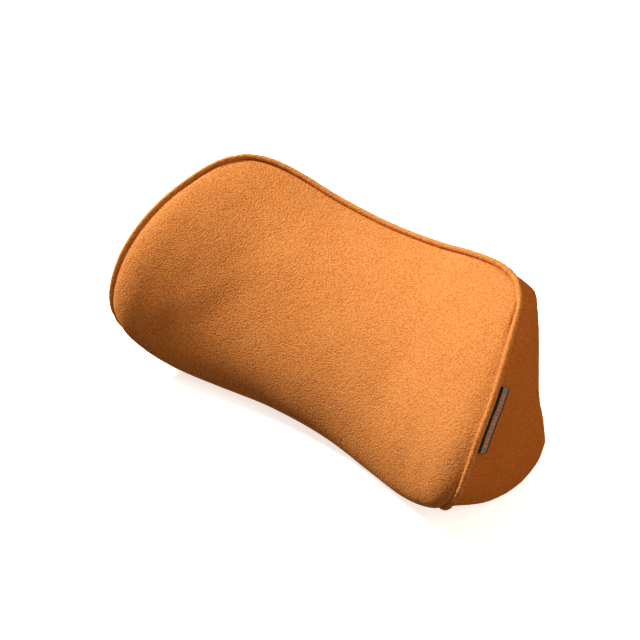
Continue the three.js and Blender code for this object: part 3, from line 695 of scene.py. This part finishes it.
# the four corners are eased so that the cord turns them without a kink
soft_loop = loop.copy()
for _ in range(10):
    soft_loop = 0.5 * soft_loop + 0.25 * (np.roll(soft_loop, 1, 0) + np.roll(soft_loop, -1, 0))
arc = np.r_[0, np.cumsum(np.linalg.norm(np.diff(soft_loop, axis=0), axis=1))]
turn = np.linalg.norm(np.roll(unit(np.roll(soft_loop, -1, 0) - soft_loop), -3, 0) - np.roll(unit(np.roll(soft_loop, -1, 0) - soft_loop), 3, 0), axis=1)
for _ in range(30):
    turn = 0.5 * turn + 0.25 * (np.roll(turn, 1) + np.roll(turn, -1))
sides = 24
ang = np.linspace(0, 2 * np.pi, sides, endpoint=False)[None]
slant = arc[:, None] + 1.1 * np.sin(ang) * 1.2
wob = noise_line(slant, [(3.1, 0.05), (5.2, 0.06), (11, 0.05)], 31) * (0.7 + 2.2 * np.clip(turn / max(turn.max(), 1e-6), 0, 1))[:, None]
piping = tube("piping_fabric", soft_loop, loop_out, PIPE_R, sides, True, [SUEDE], wob, bore=1.5)
place(piping, stands_for=["piping_cover"])
twist = 0.12 * np.cos(3 * (ang - 2 * np.pi * arc[:, None] / 7.0))
place(tube("piping_filler", soft_loop, loop_out, 1.15, sides, True, [CORD], twist), stands_for=["piping_cord"])

# ------------------------------------------------------------------ core and liner
v0, f0, ids0 = weld(patches(1, CROWN - 1.0, 0.8))


def closed_normals(v, f):
    n = np.zeros_like(v)
    fn = np.cross(v[f[:, 2]] - v[f[:, 0]], v[f[:, 3]] - v[f[:, 1]])
    for k in range(4):
        np.add.at(n, f[:, k], fn)
    return unit(n)


def eased(v, f, depth, rounds):
    p = v - closed_normals(v, f) * depth
    for _ in range(rounds):
        total, count = np.zeros_like(p), np.zeros(len(p))
        for a, b in ((0, 1), (1, 2), (2, 3), (3, 0)):
            np.add.at(total, f[:, a], p[f[:, b]]); np.add.at(count, f[:, a], 1)
            np.add.at(total, f[:, b], p[f[:, a]]); np.add.at(count, f[:, b], 1)
        p = 0.5 * p + 0.5 * total / count[:, None]
    return p


out_, in_ = eased(v0, f0, 3.0, 14), eased(v0, f0, 3.7, 14)
liner = new_mesh("liner_bag", np.vstack([out_, in_]), np.vstack([f0, f0[:, ::-1] + len(out_)]), mats=[LINER])
place(liner, stands_for=["foam_liner"])
core = new_mesh("core_foam", eased(v0, f0, 4.6, 15), f0, mats=[FOAM])
place(core, stands_for=["foam_core"])


# ------------------------------------------------------------------ stitches
def stitches(name, line, up, mats, stitch=2.6, gap=0.75, r=0.24):
    """Short threads end to end along a line, each bowed and half sunk in the cloth."""
    line, up = np.asarray(line, float), np.asarray(up, float)
    s = np.r_[0, np.cumsum(np.linalg.norm(np.diff(line, axis=0), axis=1))]
    at = lambda w: np.array([np.interp(w, s, line[:, k]) for k in range(3)])
    upat = lambda w: unit(np.array([np.interp(w, s, up[:, k]) for k in range(3)]))
    verts, faces = [], []
    w = gap
    while w + stitch < s[-1]:
        a, b, o = at(w), at(w + stitch), upat(w + stitch / 2)
        t = unit(b - a)
        side = np.cross(t, o)
        base = len(verts)
        rings = 5
        for q in range(rings):
            f = q / (rings - 1)
            c = a + (b - a) * f + o * (r * 0.55 * math.sin(math.pi * f) - 0.05)
            rr = r * (0.55 + 0.45 * math.sin(math.pi * f))
            for m in range(6):
                g = 2 * math.pi * m / 6
                verts.append(c + rr * (math.cos(g) * o + math.sin(g) * side))
        for q in range(rings - 1):
            for m in range(6):
                faces.append([base + q * 6 + m, base + q * 6 + (m + 1) % 6, base + (q + 1) * 6 + (m + 1) % 6, base + (q + 1) * 6 + m])
        faces.append([base + m for m in range(6)][::-1])
        faces.append([base + (rings - 1) * 6 + m for m in range(6)])
        w += stitch + gap
    ob = new_mesh(name, np.array(verts), faces, mats=mats)
    import bmesh
    bm = bmesh.new(); bm.from_mesh(ob.data)
    bmesh.ops.recalc_face_normals(bm, faces=bm.faces)
    bm.to_mesh(ob.data); bm.free()
    return ob


# ------------------------------------------------------------------ folded label in the right-hand seam
def label():
    R, n = sewn["right"][0], own_normal["right"]
    cum = distances(R)["v0"]
    nu = R.shape[0]

    def on(t, a):
        """A point on the end panel: t along the piping (0 to 1), a mm back from it."""
        i = t * (nu - 1)
        i0 = int(min(i, nu - 2)); f = i - i0
        row = []
        for q in (i0, i0 + 1):
            row.append(np.r_[[np.interp(a, cum[q], R[q, :, k]) for k in range(3)], [np.interp(a, cum[q], n[q, :, k]) for k in range(3)]])
        p = row[0] * (1 - f) + row[1] * f
        return p[:3], unit(p[3:])

    T0, T1, rows_, cross_ = 17.1 / 40, 28.2 / 40, 90, 40
    A0, A1, TH = 2.2, 14.6, 0.55
    # the cross-section: the ribbon comes out of the seam, runs back and folds under itself
    sec = []
    for q in range(cross_):
        a = A0 + (A1 - A0) * q / (cross_ - 1)
        sec.append((a, 1.75 + 0.5 * math.sin(math.pi * min(1, q / (cross_ - 1))) - (0.55 * max(0, (a - 13.5)) ** 2) * 0.5))
    lower = []
    for q in range(cross_):
        a = A1 - (A1 - A0 - 0.4) * q / (cross_ - 1)
        lower.append((a, 0.35 + (0.25 * max(0, a - 13.4)) * 0.8))
    prof = sec + lower
    V = []
    for i in range(rows_):
        f = i / (rows_ - 1)
        t = T0 + (T1 - T0) * f
        lift = 0.12 * math.sin(9 * f) + 0.1 * math.sin(23 * f)
        for a, b in prof:
            p, nn = on(t, a)
            V.append(p + nn * (b + lift))
    V = np.array(V)
    m = len(prof)
    f = grid_faces(rows_, m, close_v=True)
    idx = []
    for q in f:
        js = [int(x_) % m for x_ in q]
        a = sum(prof[j][0] for j in js) / 4
        # On the top face only 4.6 to 11.4 mm is grey. Beyond 11.4 mm the near-black look is the dark fold edge. Below
        # 4.6 mm, beside the piping, it is painted shadow.
        idx.append(0 if (max(js) < cross_ and 4.6 < a < 11.4) else 1)
    polys = [list(map(int, x)) for x in f] + [list(range(m))[::-1], [(rows_ - 1) * m + j for j in range(m)]]
    idx += [1, 1]
    ob = new_mesh("label_folded", V, polys, mats=[LABEL_FACE, LABEL_EDGE_AND_SHADOW], index=idx)
    import bmesh
    bm = bmesh.new(); bm.from_mesh(ob.data)
    bmesh.ops.recalc_face_normals(bm, faces=bm.faces)
    bm.to_mesh(ob.data); bm.free()
    place(ob, stands_for=["label_tag"])
    # a plain woven pattern: lozenges and short bars in coral thread, floated over the ground weave
    verts, faces = [], []

    def thread_bar(t, a0, a1, half, k=0.16):
        base = len(verts)
        steps = 4
        for q in range(steps + 1):
            a = a0 + (a1 - a0) * q / steps
            j = np.interp(a, [x[0] for x in sec], [x[1] for x in sec])
            for dt, hgt in ((-half, -0.05), (-half * 0.5, k), (half * 0.5, k), (half, -0.05)):
                p, nn = on(t + dt, a)
                verts.append(p + nn * (j + hgt * (0.6 + 0.4 * math.sin(math.pi * q / steps)) + 0.12 * math.sin(9 * ((t - T0) / (T1 - T0))) + 0.1 * math.sin(23 * ((t - T0) / (T1 - T0)))))
        for q in range(steps):
            for w in range(3):
                faces.append([base + q * 4 + w, base + q * 4 + w + 1, base + (q + 1) * 4 + w + 1, base + (q + 1) * 4 + w])
            faces.append([base + q * 4 + 3, base + q * 4, base + (q + 1) * 4, base + (q + 1) * 4 + 3])
        faces.append([base, base + 1, base + 2, base + 3])
        faces.append([base + steps * 4 + w for w in (3, 2, 1, 0)])

    n_unit = 15
    for i in range(n_unit):
        t = T0 + (T1 - T0) * (0.12 + 0.77 * i / (n_unit - 1))
        step = (T1 - T0) * 0.77 / (n_unit - 1)
        if i % 2 == 0:      # a lozenge of five threads
            for q, h in ((-2, 0.9), (-1, 1.7), (0, 2.4), (1, 1.7), (2, 0.9)):
                thread_bar(t + q * step * 0.16, 7.4 - h, 7.4 + h, step * 0.085, 0.2)
        else:               # two bars
            for q in (-1, 1):
                thread_bar(t + q * step * 0.15, 5.6, 9.2, step * 0.09, 0.2)
    ob = new_mesh("label_pattern", np.array(verts), faces, mats=[LABEL_THREAD])
    bm = bmesh.new(); bm.from_mesh(ob.data)
    bmesh.ops.recalc_face_normals(bm, faces=bm.faces)
    bm.to_mesh(ob.data); bm.free()
    place(ob)


label()


# ------------------------------------------------------------------ zip
def slab(name, x0, x1, y0, y1, z0, z1, nx, nz, mats, height):
    """A thin strip facing +Y whose outside is raised by height(x, z), with rounded long edges."""
    x, z = np.linspace(x0, x1, nx), np.linspace(z0, z1, nz)
    X, Z = np.meshgrid(x, z, indexing="ij")
    e = np.minimum(Z - z0, z1 - Z)
    roll = (y1 - y0) * 0.5 * (1 - np.sqrt(np.clip(1 - (1 - np.clip(e / 0.35, 0, 1)) ** 2, 0, 1)))
    top = np.stack([X, y1 - roll + height(X, Z), Z], -1)
    bot = np.stack([X, y0 + roll, Z], -1)
    a, b = top.reshape(-1, 3), bot.reshape(-1, 3)
    f = grid_faces(nx, nz)
    lp = [i * nz for i in range(nx - 1)] + [(nx - 1) * nz + j for j in range(nz - 1)] + [i * nz + nz - 1 for i in range(nx - 1, 0, -1)] + [j for j in range(nz - 1, 0, -1)]
    lp = np.asarray(lp); nx_ = np.roll(lp, -1)
    wall = np.stack([lp, nx_, nx_ + nx * nz, lp + nx * nz], -1)
    faces = np.vstack([f, f[:, ::-1] + nx * nz, wall[:, ::-1]])
    v = np.vstack([a, b])
    if signed_volume(v, faces) < 0:
        faces = faces[:, ::-1]
    return new_mesh(name, v, faces, mats=mats)


for side, s in (("upper", 1), ("lower", -1)):
    lo, hi = (x * 1000 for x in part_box(f"zip_tape_{side}"))
    rib = lambda X, Z: 0.05 * np.sin(2 * np.pi * Z / 0.85) + 0.03 * np.sin(2 * np.pi * X / 1.1)
    place(slab(f"tape_{side}", lo.x, hi.x, lo.y, hi.y, lo.z, hi.z, 400, 30, [TAPE], rib), stands_for=[f"zip_tape_{side}"])
    lo, hi = (x * 1000 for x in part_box(f"zip_teeth_{side}"))
    pitch, per = 1.35, 14
    turns = int((hi.x - lo.x - 1.4) / pitch)
    q = np.linspace(0, 2 * np.pi * turns, turns * per + 1)
    zc, zr = (lo.z + hi.z) / 2 - s * 0.1, (hi.z - lo.z) / 2 - 0.12
    yc, yr = (lo.y + hi.y) / 2, (hi.y - lo.y) / 2 - 0.35
    sq = lambda c: np.sign(c) * np.abs(c) ** 0.6
    line = np.stack([lo.x + 0.7 + q / (2 * np.pi) * pitch + 0.2 * np.sin(2 * q), yc + yr * sq(np.sin(q)), zc + zr * sq(np.cos(q))], -1)
    place(tube(f"coil_{side}", line, np.stack([np.zeros_like(q), np.sin(q), np.cos(q)], -1), 0.34, 8, False, [COIL]), stands_for=[f"zip_teeth_{side}"])

# the slot's turned-in edge and its row of stitches
sl = np.array([(-101.2, ZIP_Z - 7.0), (101.2, ZIP_Z - 7.0), (101.2, ZIP_Z + 7.0), (-101.2, ZIP_Z + 7.0)])


def rounded(points, r, step):
    out, n = [], len(points)
    for i in range(n):
        p, a, b = points[i], points[i - 1], points[(i + 1) % n]
        u_, w_ = unit(a - p), unit(b - p)
        c = p + (u_ + w_) * r
        for t in np.linspace(0, 1, 9):
            d = -(w_ * (1 - t) + u_ * t)
            out.append(c + unit(d) * r)
    out = np.array(out)
    closed = np.vstack([out, out[:1]])
    s = np.r_[0, np.cumsum(np.linalg.norm(np.diff(closed, axis=0), axis=1))]
    w = np.linspace(0, s[-1], int(s[-1] / step), endpoint=False)
    return np.column_stack([np.interp(w, s, closed[:, k]) for k in range(2)])


rr = rounded(sl, 2.2, 1.0)
edge_line = np.column_stack([rr[:, 0], np.full(len(rr), -0.55), rr[:, 1]])
a_ = np.arange(len(rr)) * 1.0
w_ = noise_line(a_[:, None] + 0.6 * np.sin(np.linspace(0, 2 * np.pi, 14, endpoint=False))[None], [(4, 0.05), (9, 0.05)], 5)
place(tube("slot_hem", edge_line, np.tile([0, 1.0, 0], (len(rr), 1)), 0.72, 14, True, [SUEDE_PAINTED_SHADE], w_))
st = rounded(sl + np.sign(sl - [0, ZIP_Z]) * 2.6, 3.5, 0.8)
st = np.vstack([st, st[:1]])
place(stitches("slot_stitching", np.column_stack([st[:, 0], np.full(len(st), 0.12), st[:, 1]]), np.tile([0, 1.0, 0], (len(st), 1)), [THREAD]))
for s in (1, -1):
    ln = np.column_stack([np.linspace(-97, 97, 200), np.full(200, -0.86), np.full(200, ZIP_Z + s * 6.0)])
    place(stitches(f"tape_stitching_{'upper' if s > 0 else 'lower'}", ln, np.tile([0, 1.0, 0], (200, 1)), [THREAD], 2.2, 0.8, 0.16))


# ------------------------------------------------------------------ strap
def strap(name, pts, s, width, thick, mats):
    line = curve(pts, 2)[:1]
    n = 520
    line = curve(pts, n)
    t = unit(np.gradient(line, axis=0))
    nrm = np.column_stack([-t[:, 1], t[:, 0]])
    arc_ = np.r_[0, np.cumsum(np.linalg.norm(np.diff(line, axis=0), axis=1))]
    m = 44
    half = width / 2
    prof = []
    top = np.linspace(-half, half, m)
    for z in top:
        e = half - abs(z)
        th = thick / 2 * math.sqrt(max(0.0, 1 - (1 - min(1, e / 0.6)) ** 2))
        prof.append((z, th))
    up_, dn_ = prof, [(z, -th) for z, th in prof[::-1]][1:-1]
    full = up_ + dn_
    zs = np.array([p[0] for p in full]); hs = np.array([p[1] for p in full])
    # the weave: a rib across the width at each pick, offset between neighbouring ends, and firmer selvedges
    pick = 0.055 * np.sin(2 * np.pi * arc_[:, None] / 1.5 + np.pi * np.floor((zs[None] + half) / 1.9))
    ends = 0.05 * np.sin(2 * np.pi * zs[None] / 1.9)
    body_ = np.where(np.abs(hs[None]) > 0.25, 1.0, 0.0) * np.sign(hs)[None]
    off = hs[None] + body_ * (pick + ends - 0.08)
    wav = 0.05 * noise_line(arc_, [(30, 1.0), (13, 0.6)], 3)[:, None]
    P = np.stack([
        s * (line[:, 0:1] + nrm[:, 0:1] * (off + 0)),
        line[:, 1:2] + nrm[:, 1:2] * (off + 0),
        np.broadcast_to(zs[None] * (1 + 0.0 * off) + wav, off.shape)], -1)
    k = len(full)
    v = P.reshape(-1, 3)
    f = grid_faces(n, k, close_v=True)
    polys = [list(map(int, q)) for q in f] + [list(range(k)), [(n - 1) * k + j for j in range(k)][::-1]]
    ob = new_mesh(name, v, polys, mats=mats)
    import bmesh
    bm = bmesh.new(); bm.from_mesh(ob.data)
    bmesh.ops.recalc_face_normals(bm, faces=bm.faces)
    bm.to_mesh(ob.data); bm.free()
    return ob, line, nrm, arc_


LAY = [(128.5, -3.1), (123, -0.75), (117, 1.15)]
RUN = [(111.5, 5.4), (104.5, 11.5), (97, 16.1), (88, 19.6)]
SLOPE = (35.2 - 19.6) / (88 - 44)
RIGHT = LAY + RUN + [(44, 35.2), (38.5, 35.1), (31.5, 35.1), (29.3, 34), (28.5, 31), (29.3, 28), (31.5, 26.9), (38.5, 26.9), (44, 27.8), (50, 28.3), (82, 28.3 - 32 * SLOPE)]
LEFT = LAY + RUN + [(26, 37.3), (22, 37.6), (17, 37.6), (15, 36.5), (14.5, 34), (14.5, 28), (15, 25.5), (17, 24.4), (23, 24.5), (34, 29), (42, 30.9), (60, 25.8)]
W_LO, W_HI = (x * 1000 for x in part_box("strap_right"))
STRAP_W = W_HI.z - W_LO.z


def more(points, between):
    """The same line with extra points on its straight runs, so that smoothing keeps them straight."""
    out = []
    for i, p in enumerate(points):
        if i:
            q = points[i - 1]
            if math.dist(p, q) > between:
                k = int(math.dist(p, q) // (between / 2))
                out += [tuple(np.array(q) + (np.array(p) - np.array(q)) * j / k) for j in range(1, k)]
        out.append(p)
    return out


straps = {}
for name, pts, s in (("strap_right", RIGHT, 1), ("strap_left", LEFT, -1)):
    ob, line, nrm, arc_ = strap("webbing_" + name.split("_")[1], more(pts, 12), s, STRAP_W, 1.2, [WEBBING])
    place(ob, stands_for=[name])
    straps[name] = (line, nrm, arc_, s)


def strap_line(name, w, z, up):
    """Points on the strap's face: w along it, z across; up is which face."""
    line, nrm, arc_, s = straps[name]
    w = np.asarray(w, float); z = np.asarray(z, float)
    x, y = np.interp(w, arc_, line[:, 0]), np.interp(w, arc_, line[:, 1])
    nx, ny = np.interp(w, arc_, nrm[:, 0]), np.interp(w, arc_, nrm[:, 1])
    o = np.stack([s * nx * up, ny * up, np.zeros_like(nx)], -1)
    return np.stack([s * x, y, z], -1) + o * 0.66, o


def box_x(name, piece, w0, w1, zh, up):
    """A box with a cross in it, as webbing is sewn down."""
    corners = [(w0, -zh), (w1, -zh), (w1, zh), (w0, zh), (w0, -zh), (w1, zh), (w1, -zh), (w0, zh)]
    lines = []
    for (a, b), (c, d) in zip(corners, corners[1:]):
        k = 40
        lines.append((np.linspace(a, c, k), np.linspace(b, d, k)))
    objs = []
    for q, (w, z) in enumerate(lines):
        p, o = strap_line(name, w, z, up)
        objs.append(stitches(f"{piece}_{q}", p, o, [THREAD_DARK], 2.4, 0.7, 0.26))
    verts, faces = [], []
    for ob in objs:
        base = len(verts)
        co = [v.co * 1000 for v in ob.data.vertices]
        verts += [tuple(c) for c in co]
        faces += [[base + i for i in p.vertices] for p in ob.data.polygons]
        bpy.data.objects.remove(ob)
    ob = new_mesh(piece, np.array(verts), faces, mats=[THREAD_DARK])
    place(ob)


def face_up(name, w):
    """Which side of the strap looks away from the cushion at w."""
    line, nrm, arc_, s = straps[name]
    return 1 if np.interp(w, arc_, nrm[:, 1]) > 0 else -1


for name in ("strap_right", "strap_left"):
    box_x(name, f"sewn_down_{name.split('_')[1]}", 2.0, 15.0, STRAP_W / 2 - 3, face_up(name, 8))
_, _, la, _ = straps["strap_left"]
box_x("strap_left", "sewn_back_left", la[-1] - 22, la[-1] - 3, STRAP_W / 2 - 3, face_up("strap_left", la[-1] - 10) * -1)

# ------------------------------------------------------------------ hard pieces kept from the frame
HARD = {
    "zip_top_stop_upper": (METAL, 0.25), "zip_top_stop_lower": (METAL, 0.25), "zip_bottom_stop": (METAL, 0.3), "zip_slider": (METAL, 0.22), "zip_pull": (METAL, 0.2),
    "buckle_socket": (PLASTIC, 0.7), "buckle_plug": (PLASTIC, 0.6), "buckle_prong_upper": (PLASTIC, 0.5), "buckle_prong_lower": (PLASTIC, 0.5), "strap_adjuster": (PLASTIC, 0.6),
}
for node, (look, width) in HARD.items():
    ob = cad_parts[node]
    ob.data.materials.clear()
    ob.data.materials.append(look)
    w = ob.modifiers.new("weld", "WELD")
    w.merge_threshold = 0.00002
    b = ob.modifiers.new("round", "BEVEL")
    b.width, b.segments, b.limit_method, b.angle_limit = width * 0.001, 3, "ANGLE", math.radians(35)
    b.use_clamp_overlap = True
    b.harden_normals = True
SUEDES = {"front_panel": SUEDE, "top_gusset": SUEDE_PAINTED_SHADE, "bottom_gusset": SUEDE_PAINTED_SHADE, "end_gusset_right": SUEDE_PAINTED_SHADE, "end_gusset_left": SUEDE_PAINTED_SHADE, "back_panel": SUEDE_PAINTED_SHADE,
          "piping_cover": SUEDE, "piping_cord": CORD, "foam_core": FOAM, "foam_liner": LINER, "label_tag": LABEL_FACE, "zip_tape_upper": TAPE, "zip_tape_lower": TAPE,
          "zip_teeth_upper": COIL, "zip_teeth_lower": COIL, "strap_right": WEBBING, "strap_left": WEBBING}
for node, look in SUEDES.items():
    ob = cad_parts[node]
    ob.data.materials.clear()
    ob.data.materials.append(look)

# ------------------------------------------------------------------ floor, light and camera
bpy.context.view_layer.update()
lo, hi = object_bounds()
FLOOR = lo.z - 0.0006
fm = Look("floor_paper", 0.95, spec=0.1)
fm.colour(fm.mix(fm.span(fm.noise(3.0, 2.0), 0.3, 0.7, 0, 1), (0.87, 0.87, 0.87), (0.89, 0.89, 0.89)))
floor = new_mesh("floor", np.array([[-30000, -30000, FLOOR * 1000], [30000, -30000, FLOOR * 1000], [30000, 30000, FLOOR * 1000], [-30000, 30000, FLOOR * 1000]]), [[0, 1, 2, 3]], mats=[fm.m])
floor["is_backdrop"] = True
for node_ in fm.m.node_tree.nodes:               # paper lit from behind as well, so that shadows on it stay pale
    if node_.type == "BSDF_PRINCIPLED":
        node_.inputs["Emission Color"].default_value = (1, 1, 1, 1)
        node_.inputs["Emission Strength"].default_value = 0.50
floor.visible_diffuse = False                    # it throws no light back up under the cushion

CENTRE = Vector((0, -0.062, 0.0))


def area(name, direction, distance, size, watts, colour):
    d = Vector(direction).normalized()
    li = bpy.data.lights.new(name, "AREA")
    li.shape, li.size, li.size_y, li.energy, li.color = "RECTANGLE", size, size, watts, colour
    ob = bpy.data.objects.new(name, li)
    ob.location = CENTRE + d * distance
    ob.rotation_mode = "QUATERNION"
    ob.rotation_quaternion = (-d).to_track_quat("-Z", "Y")
    bpy.context.scene.collection.objects.link(ob)
    return ob


area("key", (-0.822, -0.21, 0.528), 1.8, 0.32, 42.0, (1.0, 0.985, 0.96))
area("fill", (0.85, -0.15, 0.55), 1.9, 1.2, 7.6, (1.0, 0.90, 0.74))
area("sky", (0.0, 0.0, 1.0), 2.2, 2.6, 4.0, (1.0, 0.92, 0.80))
world = bpy.data.worlds.new("studio")
bpy.context.scene.world = world
world.use_nodes = True
wt = world.node_tree                              # a dim room, darker below
where = wt.nodes.new("ShaderNodeTexCoord")
height = wt.nodes.new("ShaderNodeSeparateXYZ")
fade = wt.nodes.new("ShaderNodeMapRange")
for i_, v_ in ((1, -0.5), (2, 0.5), (3, 0.18), (4, 0.27)):
    fade.inputs[i_].default_value = v_
wt.links.new(where.outputs["Generated"], height.inputs[0])
wt.links.new(height.outputs["Z"], fade.inputs[0])
wt.links.new(fade.outputs[0], wt.nodes["Background"].inputs["Strength"])
wt.nodes["Background"].inputs["Color"].default_value = (1.0, 0.80, 0.56, 1)
vs = bpy.context.scene.view_settings
vs.view_transform = "Standard"
vs.look = "High Contrast"

a, e, roll = math.radians(35), math.radians(30), math.radians(8)
right = Vector((math.cos(a), math.sin(a), 0))
back = Vector((math.sin(a) * math.cos(e), -math.cos(a) * math.cos(e), math.sin(e)))
up = Vector((-math.sin(a) * math.sin(e), math.cos(a) * math.sin(e), math.cos(e)))
X = right * math.cos(roll) + up * math.sin(roll)
Y = -right * math.sin(roll) + up * math.cos(roll)
cam = bpy.data.cameras.new("camera")
cam.sensor_width = 36
cam.lens = 36 * 1581.25 / 640
cam.shift_x, cam.shift_y = -19.7 / 640, 22.0 / 640
cam.clip_start, cam.clip_end = 0.05, 50
co = bpy.data.objects.new("camera", cam)
m = Matrix.Identity(4)
for i in range(3):
    m[i][0], m[i][1], m[i][2] = X[i], Y[i], back[i]
m.translation = Vector((0, -0.062, -0.010)) + back * 1.150
co.matrix_world = m
bpy.context.scene.collection.objects.link(co)
bpy.context.scene.camera = co

lo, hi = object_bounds()
